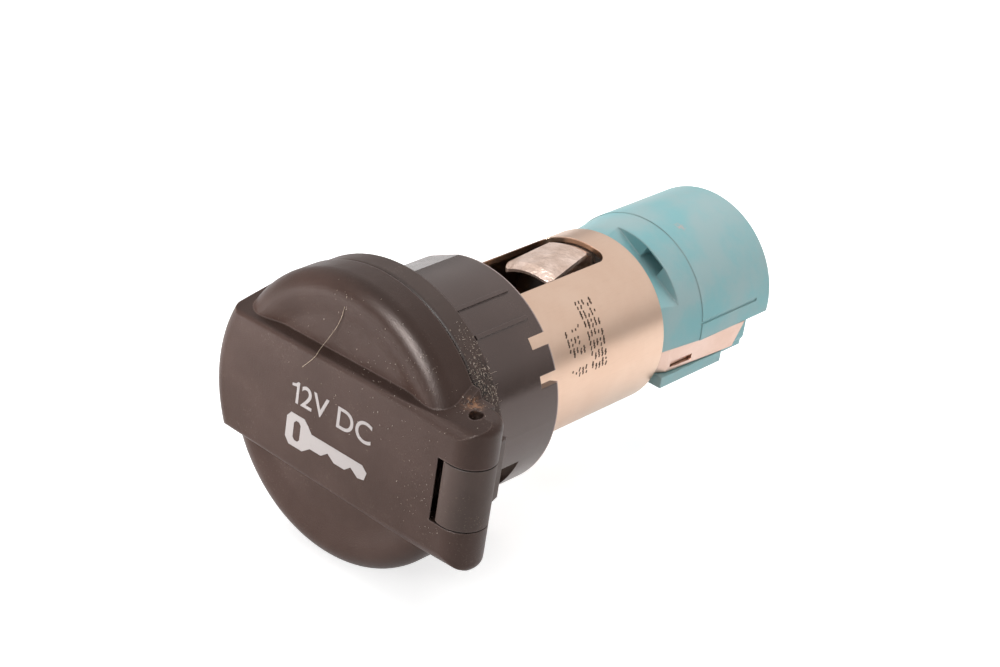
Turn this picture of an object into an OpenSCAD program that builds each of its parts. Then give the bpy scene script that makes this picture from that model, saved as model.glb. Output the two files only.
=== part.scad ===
// Twelve volt power socket for a car interior, with a hinged cap.
// The socket axis is Y. The cap faces -Y and the connector faces +Y.
// The hinge stands at +X and the finger tab at -X.
// The origin is the centre of the flange face that seats on the panel.

/* [Socket tube] */
// Inside diameter of the metal socket tube
bore_d = 21.2; // [20.9:0.1:21.6]
// Wall of the socket tube
shell_wall = 0.7; // [0.5:0.1:1.0]
// Rear rim of the tube, behind the panel face
shell_rear = 38.2; // [36:0.2:44]
// Front rim of the tube, in front of the panel face
shell_front = 1.5; // [1.0:0.1:2.0]
// Front edge of the rolled bead that stops the tube behind the collar's ribs
bead_front = 10.5; // [8:0.1:10.6]
// Width of the rolled bead
bead_w = 1.2; // [1.1:0.1:1.3]
// Height of the rolled bead
bead_h = 0.3; // [0.2:0.05:0.4]
// Direction of the upper tube window, in degrees above +X
window_turn = 99; // [85:1:110]
// Width of each tube window
window_w = 10.3; // [8.6:0.1:12]
// Front edge of the tube windows
window_front = 12; // [9:0.5:14]
// Whole rim of the tube behind the windows
window_rim = 4; // [3.8:0.1:8]
// Corner radius of the tube windows
window_r = 1.6; // [0.5:0.1:3]

/* [Mounting collar] */
// Gap between the tube and the collar that goes through the panel
collar_gap = 1.55; // [1.3:0.05:2.5]
// Wall of the collar
collar_wall = 1.5; // [1.2:0.1:1.7]
// Length of the collar behind the panel face
collar_len = 14.4; // [12:0.2:20]
// Height of the locating ring above the collar
locating_h = 0.3; // [0.2:0.05:0.4]
// Length of the locating ring behind the panel face
locating_len = 2.2; // [1.5:0.1:2.4]
// Depth of the recess in the flange that takes the front of the collar
collar_sink = 0.1; // [0.05:0.05:0.2]
// Depth of the slots in the rear rim of the collar
rim_slot_deep = 3.2; // [2:0.1:5]
// Direction of the first snap tongue between two rim slots
tongue_turn = 31; // [25:1:40]
// Width of a snap tongue
tongue_w = 3.2; // [2:0.1:5]
// Width of a rim slot
rim_slot_w = 1.5; // [0.8:0.1:2.5]
// Width of a crush rib
crush_rib_w = 0.55; // [0.3:0.05:1]
// Height of a crush rib above the collar
crush_rib_h = 0.25; // [0.1:0.05:0.3]
// Front end of the crush ribs
crush_rib_front = 3.6; // [2.8:0.1:6]
// Distance from the crush ribs to the rear rim of the collar
crush_rib_gap = 1.8; // [1:0.1:5]
// Thickness of the locating ribs inside the collar
inner_rib_w = 1.0; // [0.6:0.1:1.6]
// Number of locating ribs inside the collar
inner_rib_count = 8; // [4:1:10]
// Height of the collar windows along the axis
clip_window_len = 6.4; // [4:0.1:8]
// Distance from the boss of the flange to the collar windows
clip_window_gap = 0.2; // [0.1:0.1:1]
// Width of the collar windows
clip_window_w = 7.8; // [6:0.1:9]
// Direction of the right collar window
clip_turn = -34; // [-40:1:-28]

/* [Cap frame] */
// Diameter of the flange
flange_d = 36; // [34:0.1:40]
// Thickness of the flange
flange_t = 3.1; // [2.6:0.1:4]
// Rounding of the front edge of the flange
flange_round = 0.6; // [0.2:0.1:1.2]
// Height of the lip around the mouth
mouth_lip_h = 1.4; // [0.6:0.1:1.8]
// Wall of the lip around the mouth
mouth_lip_wall = 2.0; // [1.2:0.1:3]
// Length of the boss that carries the collar
boss_len = 2.4; // [1.5:0.1:2.5]

/* [Cap] */
// Reach of the cap past the edge of the flange
lid_over = 0.2; // [0:0.1:1]
// Gap between the cap and the flange
lid_gap = 0.35; // [0.3:0.05:0.6]
// Depth of the cap from its rear rim to its face
lid_deep = 5.3; // [4.5:0.1:7]
// Wall of the cap
lid_wall = 1.4; // [1:0.1:1.8]
// Rounding of the front edge of the cap
lid_round = 2.4; // [1:0.1:3]
// Depth of the dish on each side of the band
dish_deep = 0.55; // [0.2:0.05:0.8]
// Width of the slope from the rim down into the dish
dish_slope_w = 3.2; // [1:0.1:4]
// Rise of the band above the rim of the cap
band_rise = 1.05; // [0.6:0.05:1.6]
// Half width of the band at the tab
band_half_tab = 7.7; // [6.5:0.1:9]
// Half width of the band at the hinge
band_half_hinge = 8.5; // [7:0.1:10]
// Outward lean of the sides of the band, in degrees
band_lean = 19; // [5:1:25]
// Rounding of the long edges of the band
band_round = 0.7; // [0.2:0.1:1]
// Rounding of the outer ends of the hinge
hinge_end_round = 2; // [1:0.1:2.4]
// Reach of the finger tab past the rim of the cap
tab_reach = 0.9; // [0.5:0.1:3]
// Rounding of the front edge of the tab
tab_round = 1.5; // [0.5:0.1:2]

/* [Hinge] */
// Distance of the hinge axis past the rim of the cap
hinge_out = 0.2; // [0:0.1:0.8]
// Diameter of the hinge barrel
barrel_d = 6.4; // [5.6:0.1:7]
// Rounding of the ends of the hinge barrel
barrel_round = 1.3; // [0.6:0.1:1.4]
// Diameter of the hinge pin
pin_d = 1.6; // [1.4:0.1:2.4]
// Upper end of the middle knuckle
knuckle_top = 4.1; // [3:0.1:5]
// Lower end of the middle knuckle, below the socket axis
knuckle_bottom = 3.8; // [3:0.1:5]
// Gap between the end faces of two knuckles
knuckle_gap = 0.15; // [0.1:0.05:0.3]
// Gap between the middle knuckle and the cap around it
knuckle_slot = 0.5; // [0.3:0.05:0.8]
// Left edge of the middle knuckle, before the hinge axis
knuckle_flat = 1.2; // [0.4:0.1:1.4]
// Depth of the pin ends below the ends of the barrel
pin_inset = 1.3; // [0.2:0.1:1.5]
// Running clearance of the pin in the cap, on the radius
pin_clear = 0.06; // [0.03:0.01:0.1]

/* [Connector housing] */
// Reach of the housing past the outside of the tube, on the radius
housing_over = 0.25; // [0.1:0.05:0.6]
// Length of the housing behind its neck
housing_len = 14.4; // [12:0.2:20]
// Length by which the lower half of the housing is shorter than the upper half
housing_step = 3.4; // [2:0.1:5]
// Radial step from the spigot to the lower half of the housing
lower_step = 0.05; // [0.02:0.01:0.1]
// Length of the tapered neck
neck_len = 7.7; // [6:0.1:10]
// Step between the neck and the housing, on the radius
neck_step = 0.1; // [0.05:0.05:0.4]
// Length of the housing that stands in the tube
spigot_len = 2.7; // [2.5:0.1:3.8]
// Thickness of the insulating wall
base_wall = 2.2; // [1.6:0.1:3]
// Radial gap between the spigot and the tube
spigot_gap = 0.05; // [0.02:0.01:0.1]
// Wall of the neck, measured from the bore of the tube
neck_wall = 2.8; // [2.4:0.1:3.4]
// Wall of the shroud
shroud_wall = 1.75; // [1.3:0.05:2]
// Depth of the flats inside the shroud
shroud_flat_deep = 1.2; // [0.6:0.1:2]
// Direction of the facet on the neck
facet_turn = 61; // [50:1:75]
// Depth of the facet below the spigot
facet_deep = 1.65; // [1:0.05:2]
// Length of the facet along the axis
facet_len = 3.7; // [3:0.1:5]
// Width of the hole in the rear wall of the facet
facet_hole_w = 3.3; // [2:0.1:4]
// Depth of the hole behind the rear wall of the facet
facet_hole_deep = 2.4; // [1:0.1:2.6]
// Skin of the neck outside the hole
facet_hole_skin = 0.3; // [0.2:0.05:0.6]

/* [Ground strip] */
// Upper edge of the strip, below the socket axis
strip_top = 1.05; // [0.5:0.05:1.5]
// Width of the strip
strip_w = 3.2; // [2.8:0.1:3.6]
// Thickness of the strip
strip_t = 0.6; // [0.4:0.05:0.8]
// Gap between the strip and the inside of the tube
strip_tube_gap = 1; // [0.9:0.1:1.6]
// Depth of the strip below the outside of the housing, just behind its bend
strip_sink_front = 0.9; // [0.5:0.05:1.2]
// Depth of the strip below the outside of the housing, at its rear end
strip_sink_rear = 0.1; // [0:0.05:0.4]
// Distance from the rear end of the strip to the rear end of the housing
strip_inset = 4.6; // [4:0.1:8]
// Length of the bend in the strip
strip_bend_len = 2; // [1:0.1:3]
// Clearance above the strip in its channel
strip_clear = 0.15; // [0.05:0.05:0.3]
// Clearance below the strip in its channel
strip_room = 0.15; // [0.05:0.05:0.3]
// Height of the rail under the strip
rail_h = 1.5; // [1:0.1:2]
// Depth of the rail below the outside of the housing
rail_sink = 0.35; // [0.1:0.05:0.8]
// Distance from the front of the neck to the rail
rail_gap = 1.1; // [0.6:0.1:3]
// Length of the high part of the rail
rail_len = 12.6; // [8:0.2:15]
// Step from the high part of the rail to its low rear part
rail_step = 0.65; // [0.3:0.05:0.9]
// Depth of the end of the ground tab below the outer face of the strip
tab_sink = 0.3; // [0.1:0.05:0.4]

/* [Contacts] */
// Width of the contact blades
blade_w = 6.3; // [4.8:0.1:6.6]
// Thickness of the positive blade
blade_t = 0.8; // [0.6:0.1:1]
// Depth of the contact blades below the rear end of the housing
blade_inset = 5.4; // [3.6:0.1:9]
// Height of the positive blade above the socket axis
blade_rise = 3.2; // [2.8:0.1:4]
// Thickness of the ground blade
ground_t = 0.6; // [0.4:0.05:0.7]
// Height of the ground tab below the upper edge of the strip
ground_drop = 2.3; // [1.8:0.05:2.6]
// Distance from the front of the neck to the ground tab
ground_tab_gap = 3.3; // [2.8:0.1:4]
// Length of the ground tab
ground_tab_len = 4; // [3:0.1:5]
// Diameter of the contact rivet
rivet_d = 3; // [2:0.1:3.6]
// Diameter of the contact rivet's head
rivet_head_d = 6.4; // [5:0.1:8]
// Height of the contact rivet's head
rivet_head_h = 1.4; // [1:0.1:2]
// Thickness of the washer under the rivet's tail
washer_t = 0.6; // [0.4:0.1:1]
// Outside diameter of the washer
washer_d = 6; // [5:0.1:7]
// Thickness of the spring metal in the grip clip
clip_t = 0.5; // [0.3:0.05:0.7]
// Thickness of the insulating disc under the grip clip
disc_t = 0.5; // [0.3:0.1:0.6]
// Distance from the front edge of the window to the grip finger
finger_gap = 12.6; // [10:0.1:14]
// Depth of the front lip of a grip finger below the bore of the tube
finger_lip = 0.95; // [0.6:0.05:1.4]
// Length of the bend behind the front lip
finger_lip_len = 1.2; // [0.8:0.1:2]
// Reach of a grip finger's crest past the bore of the tube, into the window
finger_out = 0.35; // [0:0.05:0.5]
// Distance from the crest to the rear edge of the window
finger_crest_gap = 1.6; // [1.2:0.1:3]
// Gap between the arm behind a grip finger and the bore of the tube
finger_arm_gap = 0.3; // [0.2:0.05:0.5]
// Width of a grip finger at its front
finger_w = 7.8; // [6:0.1:8.4]
// Width of a grip finger at its shoulders
finger_rear_w = 6; // [5.4:0.1:7.6]
// Width of the arm behind a grip finger
finger_arm_w = 4.6; // [3:0.1:5.2]
// Thickness of a panel clip
panel_clip_t = 0.5; // [0.3:0.05:0.6]
// Width of a panel clip
panel_clip_w = 6.4; // [4:0.1:6.6]

/* [Hidden] */
$fn = 96;

// Overlap of a cutting tool past the face that it cuts
cut = 1;
bore_r = bore_d / 2;
shell_r = bore_r + shell_wall;
collar_in_r = shell_r + collar_gap;
collar_r = collar_in_r + collar_wall;
// Clearance between two parts that are pushed together
seat_clear = 0.05;
// Small step between the ends of two parts along the axis
rim_gap = 0.1;
// Step from the tube out to the mouth, which guides the plug in
mouth_clear = 0.4;
// Distance from the front of the neck to the bend of the ground strip
strip_gap = 0.6;
seat_r = shell_r + seat_clear;
mouth_r = bore_r + mouth_clear;
flange_r = flange_d / 2;
lid_r = flange_r + lid_over;
hinge_x = lid_r + hinge_out;
lid_rear = -(flange_t + lid_gap);
lid_face = lid_rear - lid_deep;
band_face = lid_face - band_rise;
dish_floor = lid_face + dish_deep;
lid_ceiling = dish_floor + lid_wall;
lid_in_r = lid_r - lid_wall;
tab_r = lid_r + tab_reach;
barrel_r = barrel_d / 2;
hinge_y = band_face + barrel_r;
pin_r = pin_d / 2;
band_taper = atan((band_half_hinge - band_half_tab) / (hinge_x + lid_r));
band_long = hinge_x + tab_r + barrel_d;
// Depth of the half space that trims the side of the band, more than the cap is wide
band_tall = 2 * barrel_d + 2 * lid_r;
// Half height of the barrel where the hinge axis leaves it
barrel_half = band_half_hinge + barrel_r * tan(band_lean);
locating_r = collar_r + locating_h;
boss_r = collar_in_r - seat_clear;
housing_r = shell_r + housing_over;
housing_front = shell_rear - spigot_len;
neck_front = shell_rear + rim_gap;
neck_rear = neck_front + neck_len;
housing_rear = neck_rear + housing_len;
neck_cavity_r = bore_r - neck_wall;
spigot_r = bore_r - spigot_gap;
neck_r = housing_r - neck_step;
facet_floor = spigot_r - facet_deep;
facet_rear = neck_front + facet_len;
cavity_r = housing_r - shroud_wall;
shroud_flat = cavity_r - shroud_flat_deep;
base_rear = housing_front + base_wall;
window_rear = shell_rear - window_rim;
clip_window_front = boss_len + clip_window_gap;
crush_rib_end = collar_len - crush_rib_gap;
strip_bottom = strip_top + strip_w;
strip_x_front = bore_r - strip_tube_gap;
strip_x_bend = housing_r - strip_sink_front;
strip_x_rear = housing_r - strip_sink_rear;
strip_rear = housing_rear - strip_inset;
blade_rear = housing_rear - blade_inset;
ground_tab_front = neck_front + ground_tab_gap;
disc_front = housing_front - disc_t;
finger_front = window_front + finger_gap;
finger_arm_r = bore_r - finger_arm_gap;
strip_in_r = strip_x_front - strip_t;
ground_z = -(strip_top + ground_drop);
strip_bend_front = neck_front + strip_gap;
strip_bend_rear = strip_bend_front + strip_bend_len;

// Turns a shape that stands along Z so that it lies along +Y.
module axial() {
  rotate([-90, 0, 0]) children();
}

// Turns a shape about the socket axis, in degrees from +X towards +Z.
module at_angle(a) {
  rotate([0, -a, 0]) children();
}

// Lays a profile drawn in Y and Z along +X.
module along_x() {
  rotate([90, 0, 90]) children();
}

// Tube about the socket axis between two places on it.
module ring(r_out, r_in, y0, y1) {
  axial() difference() {
    translate([0, 0, y0]) cylinder(r = r_out, h = y1 - y0);
    translate([0, 0, y0 - cut]) cylinder(r = r_in, h = y1 - y0 + 2 * cut);
  }
}

// Rod about the socket axis between two places on it.
module rod(r, y0, y1) {
  axial() translate([0, 0, y0]) cylinder(r = r, h = y1 - y0);
}

// Rod about the hinge axis between two heights.
module hinge_rod(r, z0, z1) {
  translate([hinge_x, hinge_y, z0]) cylinder(r = r, h = z1 - z0);
}

// Rectangle with round corners, centred.
module round_rect(w, h, r) {
  square([w - 2 * r, h], center = true);
  square([w, h - 2 * r], center = true);
  for (sx = [-1, 1], sy = [-1, 1])
    translate([sx * (w / 2 - r), sy * (h / 2 - r)]) circle(r = r);
}

// Unit normal of the stretch from a to b.
function side(a, b) = [a[1] - b[1], b[0] - a[0]] / norm(b - a);
// Mitred offset of point i of a path by d.
function mitre(p, i, d) =
  let (a = side(p[max(i - 1, 0)], p[max(i, 1)]))
  let (b = side(p[min(i, len(p) - 2)], p[min(i + 1, len(p) - 1)]))
  p[i] + (a + b) * d / (1 + a * b);
// Outline of a sheet of thickness t whose one face follows a path.
function sheet(p, t) = concat(
  p,
  [for (i = [len(p) - 1 : -1 : 0]) mitre(p, i, t)]
);

// Outline of the cap as a body of revolution, radius against place on the axis.
module lid_profile() {
  slope_steps = 8;
  slope_out = lid_r - lid_round;
  difference() {
    union() {
      translate([0, lid_face]) square([slope_out, lid_deep]);
      translate([0, lid_face + lid_round]) square([lid_r, lid_deep - lid_round]);
      translate([slope_out, lid_face + lid_round]) circle(r = lid_round);
    }
    // Dish between the rim and the axis
    polygon(concat(
      [[-cut, lid_face - cut], [slope_out, lid_face - cut]],
      [for (i = [0 : slope_steps])
        [slope_out - dish_slope_w * i / slope_steps,
         lid_face + dish_deep * (1 - cos(180 * i / slope_steps)) / 2]],
      [[-cut, dish_floor]]
    ));
  }
}

// Hollow behind the face of the cap, drawn like its outline.
module lid_hollow_profile() {
  hollow_len = lid_rear + cut - lid_ceiling;
  translate([0, lid_ceiling]) square([lid_in_r - lid_wall, hollow_len]);
  translate([0, lid_ceiling + lid_wall]) square([lid_in_r, hollow_len - lid_wall]);
  translate([lid_in_r - lid_wall, lid_ceiling + lid_wall]) circle(r = lid_wall);
}

// Half space under the upper leaning side of the band, its edge rounded by r, drawn in Y and Z.
module band_side_profile(r) {
  reach = lid_rear - band_face;
  turn = 90 - band_lean;
  round_steps = 8;
  // The rounding touches the face of the band and its leaning side
  back = r * tan(turn / 2);
  polygon(concat(
    [[lid_rear, reach * tan(band_lean)], [lid_rear, -band_tall], [band_face, -band_tall]],
    [for (i = [0 : round_steps])
      let (a = turn * i / round_steps)
      [band_face + r * (1 - cos(a)), -back + r * sin(a)]]
  ));
}

// The half space, swung about the hinge end of the band so that it spreads towards the tab.
module band_side(r, spread, front) {
  translate([hinge_x, -front, band_half_hinge])
    rotate([0, spread - band_taper, 0])
      along_x() translate([0, 0, -band_long]) linear_extrude(band_long + barrel_d)
        band_side_profile(r);
}

// Room for the middle knuckle as the cap swings.
module knuckle_room() {
  hinge_rod(barrel_r + knuckle_slot, -knuckle_bottom - knuckle_gap, knuckle_top + knuckle_gap);
}

// Hinge barrel with round ends.
module barrel() {
  translate([hinge_x, hinge_y, 0]) rotate_extrude() {
    translate([0, -barrel_half]) square([barrel_r - barrel_round, 2 * barrel_half]);
    translate([0, barrel_round - barrel_half])
      square([barrel_r, 2 * (barrel_half - barrel_round)]);
    for (s = [-1, 1])
      translate([barrel_r - barrel_round, s * (barrel_half - barrel_round)])
        circle(r = barrel_round);
  }
}

// Block behind the band: a round end at the tab, the barrel at the hinge.
module band_block() {
  // Stretch beside the hinge, where the band is no wider than the barrel
  shoulder_x = sqrt(lid_r * lid_r - barrel_half * barrel_half);
  axial() rotate_extrude() {
    translate([0, band_face]) square([tab_r - tab_round, lid_rear - band_face]);
    translate([0, band_face + tab_round])
      square([tab_r, lid_rear - band_face - tab_round]);
    translate([tab_r - tab_round, band_face + tab_round]) circle(r = tab_round);
  }
  translate([0, band_face, -lid_r]) cube([shoulder_x, lid_rear - band_face, 2 * lid_r]);
  translate([0, band_face, -barrel_half])
    cube([hinge_x, lid_rear - band_face, 2 * barrel_half]);
  barrel();
}

module lid() {
  pocket_half = band_half_tab - lid_wall;
  pocket_x = lid_in_r - lid_wall;
  rib_count = 2;
  // The large rounding of the hinge ends fades out towards the tab
  hinge_end_spread = 3;
  hinge_end_front = 0.03;
  color([0.38, 0.32, 0.29]) difference() {
    union() {
      difference() {
        axial() rotate_extrude() lid_profile();
        knuckle_room();
      }
      intersection() {
        band_side(band_round, 0, 0);
        mirror([0, 0, 1]) band_side(band_round, 0, 0);
        band_side(hinge_end_round, hinge_end_spread, hinge_end_front);
        mirror([0, 0, 1]) band_side(hinge_end_round, hinge_end_spread, hinge_end_front);
        difference() {
          band_block();
          knuckle_room();
        }
      }
    }
    axial() rotate_extrude() lid_hollow_profile();
    // Pockets under the band, with ribs between them
    for (i = [0 : rib_count]) {
      pocket_w = (2 * pocket_x - rib_count * lid_wall) / (rib_count + 1);
      translate([-pocket_x + i * (pocket_w + lid_wall), band_face + lid_wall, -pocket_half])
        cube([pocket_w, lid_ceiling - band_face, 2 * pocket_half]);
    }
    hinge_rod(pin_r + pin_clear, -lid_r, lid_r);
  }
}

module hinge_pin() {
  color([0.55, 0.54, 0.52])
    hinge_rod(pin_r, -barrel_half + pin_inset, barrel_half - pin_inset);
}

module cap_frame() {
  lip_front = -flange_t - mouth_lip_h;
  lip_r = mouth_r + mouth_lip_wall;
  // Arm of the knuckle, measured from the hinge axis
  arm_left = hinge_x - 1.6;
  arm_right = hinge_x + 0.7;
  arm_foot = hinge_x - 0.35;
  arm_taper_y = -flange_t - 0.6;
  eye_wall = 1.1;
  color([0.36, 0.31, 0.28]) difference() {
    union() {
      axial() rotate_extrude() difference() {
        union() {
          translate([0, -flange_t + flange_round]) square([flange_r, flange_t - flange_round]);
          translate([0, -flange_t]) square([flange_r - flange_round, flange_t]);
          translate([flange_r - flange_round, -flange_t + flange_round]) circle(r = flange_round);
          translate([0, lip_front]) square([lip_r, mouth_lip_h + cut]);
          translate([0, -cut]) square([boss_r, boss_len + cut]);
        }
        // Recess that takes the front of the collar
        translate([boss_r, -collar_sink])
          square([locating_r + seat_clear - boss_r, collar_sink + cut]);
        // Mouth with a lead-in, then the seat of the tube
        polygon([
          [-cut, lip_front - cut], [mouth_r + mouth_lip_wall / 2 + cut / 2, lip_front - cut],
          [mouth_r, lip_front + mouth_lip_wall / 2], [mouth_r, -shell_front],
          [seat_r, -shell_front], [seat_r, boss_len + cut], [-cut, boss_len + cut]
        ]);
      }
      // Middle knuckle with the arm that carries it
      intersection() {
        hinge_rod(barrel_r, -knuckle_bottom, knuckle_top);
        translate([hinge_x - knuckle_flat, hinge_y - barrel_r, -knuckle_bottom])
          cube([barrel_d, barrel_d, knuckle_bottom + knuckle_top]);
      }
      hinge_rod(pin_r + eye_wall, -knuckle_bottom, knuckle_top);
      translate([0, 0, -knuckle_bottom]) linear_extrude(knuckle_bottom + knuckle_top)
        polygon([
          [arm_left, hinge_y], [arm_right, hinge_y], [arm_right, arm_taper_y],
          [arm_foot, 0], [arm_left, 0]
        ]);
    }
    hinge_rod(pin_r, -lid_r, lid_r);
  }
}

// Spreads its child to both sides of the socket axis.
module opposite() {
  children();
  at_angle(180) children();
}

module mounting_collar() {
  slot_turn = asin((tongue_w + rim_slot_w) / 2 / collar_r);
  rim_chamfer = 0.35;
  // The ribs stop short of the boss and of the bead on the tube
  rib_front = boss_len + 0.3;
  rib_rear = bead_front - rim_gap;
  // The clip windows stand midway between two ribs
  rib_turn = clip_turn + 180 / inner_rib_count;
  crush_turns = [52.8, 69];
  key_turn = 115;
  key_half_w = 2.5;
  key_deep = 0.2;
  color([0.30, 0.26, 0.26]) difference() {
    union() {
      axial() rotate_extrude() polygon([
        [collar_in_r, -collar_sink], [locating_r, -collar_sink], [locating_r, locating_len],
        [collar_r, locating_len + locating_h], [collar_r, collar_len - rim_chamfer],
        [collar_r - rim_chamfer, collar_len], [collar_in_r, collar_len]
      ]);
      // Ribs that centre the tube
      intersection() {
        ring(collar_r - collar_wall / 2, seat_r, rib_front, rib_rear);
        for (i = [0 : inner_rib_count - 1])
          at_angle(rib_turn + 360 * i / inner_rib_count)
            translate([0, rib_front, -inner_rib_w / 2])
              cube([collar_r, rib_rear - rib_front, inner_rib_w]);
      }
      // Crush ribs that hold the collar tight in the panel
      opposite() for (a = crush_turns)
        at_angle(a) translate([collar_r - collar_wall / 2, crush_rib_front, -crush_rib_w / 2])
          cube([collar_wall / 2 + crush_rib_h, crush_rib_end - crush_rib_front, crush_rib_w]);
    }
    // Slots beside the two snap tongues
    opposite() for (s = [-1, 1])
      at_angle(tongue_turn + s * slot_turn)
        translate([collar_in_r - cut, collar_len - rim_slot_deep, -rim_slot_w / 2])
          cube([collar_wall + 2 * cut, rim_slot_deep + cut, rim_slot_w]);
    // Windows for the panel clips
    opposite() at_angle(clip_turn)
      translate([seat_r, clip_window_front, -clip_window_w / 2])
        cube([collar_r, clip_window_len, clip_window_w]);
    // Shallow keyway along the collar
    at_angle(key_turn) translate([collar_r - key_deep, -cut, -key_half_w])
      cube([collar_r, collar_len + 2 * cut, 2 * key_half_w]);
  }
}

// Bent strip of spring steel that stands in a collar window.
module panel_clip() {
  // The foot lies inside the collar, the bend looks out of the window
  seat_gap = 0.03;
  seat = sqrt(collar_in_r * collar_in_r - panel_clip_w * panel_clip_w / 4) - seat_gap;
  foot_y = clip_window_front + clip_window_len - 0.7;
  heel_y = foot_y + 2.3;
  tip_y = clip_window_front + 1.2;
  crest_y = tip_y + 1.6;
  crest_x = collar_r - 0.9;
  tip_x = collar_r - 1.5;
  path = [
    [seat - panel_clip_t, heel_y], [seat - panel_clip_t, foot_y], [crest_x, crest_y], [tip_x, tip_y]
  ];
  color([0.72, 0.68, 0.62]) at_angle(clip_turn)
    translate([0, 0, -panel_clip_w / 2])
      linear_extrude(panel_clip_w) polygon(sheet(path, -panel_clip_t));
}

module panel_clip_right() {
  panel_clip();
}

module panel_clip_left() {
  at_angle(180) panel_clip();
}

// Outline of the tube as a body of revolution, with the bead rolled outwards.
module shell_profile() {
  bead_rear = bead_front + bead_w;
  bead = [[0, bead_front], [bead_h, bead_front + bead_h], [bead_h, bead_rear - bead_h], [0, bead_rear]];
  polygon(concat(
    [[bore_r, -shell_front], [shell_r, -shell_front]],
    [for (p = bead) [shell_r + p[0], p[1]]],
    [[shell_r, shell_rear], [bore_r, shell_rear]],
    [for (i = [3 : -1 : 0]) [bore_r + bead[i][0], bead[i][1]]]
  ));
}

module socket_shell() {
  color([0.80, 0.70, 0.61]) difference() {
    axial() rotate_extrude() shell_profile();
    for (s = [0, 180])
      at_angle(window_turn + s)
        translate([bore_r / 2, (window_front + window_rear) / 2, 0])
          rotate([0, 90, 0])
            linear_extrude(shell_r) round_rect(window_w, window_rear - window_front, window_r);
  }
}

// Outline of a grip finger and its arm, seen from outside, drawn in Y and Z.
module finger_outline() {
  corner = 1.2;
  corner_steps = 4;
  shoulder_front = window_rear - finger_crest_gap;
  shoulder_len = 0.9;
  for (s = [0, 1]) mirror([0, s]) polygon(concat(
    [[finger_front, -cut]],
    [for (i = [0 : corner_steps])
      let (a = 90 * i / corner_steps)
      [finger_front + corner * (1 - cos(a)), finger_w / 2 - corner * (1 - sin(a))]],
    [[shoulder_front, finger_rear_w / 2], [shoulder_front + shoulder_len, finger_arm_w / 2],
     [disc_front, finger_arm_w / 2], [disc_front, -cut]]
  ));
}

// One sprung finger with the arm that joins it to the base.
module grip_finger() {
  // Outer face from the front lip over the crest in the window to the arm under the rear rim
  path = [
    [bore_r - finger_lip, finger_front],
    [bore_r - finger_arm_gap, finger_front + finger_lip_len],
    [bore_r + finger_out, window_rear - finger_crest_gap],
    [finger_arm_r, window_rear],
    [finger_arm_r, disc_front]
  ];
  intersection() {
    axial() rotate_extrude() polygon(sheet(path, clip_t));
    along_x() linear_extrude(shell_r + cut) finger_outline();
  }
  // The base ends inside the thickness of the arm
  intersection() {
    translate([-cut, disc_front - clip_t, -finger_arm_w / 2])
      cube([shell_r, clip_t, finger_arm_w]);
    rod(finger_arm_r - clip_t / 2, disc_front - clip_t - cut, disc_front + cut);
  }
}

module grip_clip() {
  color([0.66, 0.58, 0.50]) difference() {
    at_angle(window_turn) opposite() grip_finger();
    rod(rivet_d / 2, disc_front - cut - clip_t, disc_front + cut);
  }
}

module insulating_disc() {
  color([0.42, 0.32, 0.22]) ring(spigot_r, rivet_d / 2, disc_front, housing_front);
}

module contact_rivet() {
  head_rear = disc_front - clip_t;
  tail_front = base_rear + blade_t + washer_t;
  tail_h = 0.9;
  tail_over = 1;
  // Length of the shank inside the head and inside the tail
  shank_in = 0.2;
  dome_r = (rivet_head_d * rivet_head_d / 4 + rivet_head_h * rivet_head_h) / (2 * rivet_head_h);
  color([0.78, 0.70, 0.52]) union() {
    axial() rotate_extrude() intersection() {
      translate([0, head_rear - rivet_head_h + dome_r]) circle(r = dome_r);
      translate([0, head_rear - rivet_head_h]) square([rivet_head_d, rivet_head_h]);
    }
    rod(rivet_d / 2, head_rear - shank_in, tail_front + shank_in);
    rod(rivet_d / 2 + tail_over, tail_front, tail_front + tail_h);
  }
}

module rivet_washer() {
  color([0.62, 0.60, 0.57])
    ring(washer_d / 2, rivet_d / 2, base_rear + blade_t, base_rear + blade_t + washer_t);
}

module positive_terminal() {
  base_low = washer_d / 2;
  color([0.80, 0.66, 0.42]) difference() {
    union() {
      translate([-blade_w / 2, base_rear, -base_low])
        cube([blade_w, blade_t, base_low + blade_rise + blade_t]);
      blade(blade_rise, blade_t, base_rear);
    }
    rod(rivet_d / 2, base_rear - cut, base_rear + blade_t + cut);
  }
}

// Flat blade above height z0, with a tapered tip.
module blade(z0, t, front) {
  tip_len = 2;
  tip_side = 1.2;
  tip_w = blade_w - 2 * tip_side;
  translate([0, 0, z0]) linear_extrude(t) polygon([
    [-blade_w / 2, front], [blade_w / 2, front],
    [blade_w / 2, blade_rear - tip_len], [tip_w / 2, blade_rear],
    [-tip_w / 2, blade_rear], [-blade_w / 2, blade_rear - tip_len]
  ]);
}

module ground_terminal() {
  color([0.78, 0.68, 0.58]) {
    blade(ground_z - ground_t / 2, ground_t, ground_tab_front);
    translate([0, ground_tab_front, ground_z - ground_t / 2])
      cube([strip_x_at(ground_tab_front) - tab_sink, ground_tab_len, ground_t]);
  }
}

// Outer face of the ground strip at a place on the axis, behind its bend.
function strip_x_at(y) = strip_x_bend
  + (strip_x_rear - strip_x_bend) * (y - strip_bend_rear) / (strip_rear - strip_bend_rear);

// Path of the outer face of the strip, from inside the tube to its rear end.
function strip_path(front, rear) = [
  [strip_x_front, front], [strip_x_front, strip_bend_front],
  [strip_x_bend, strip_bend_rear], [strip_x_at(rear), rear]
];

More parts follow.
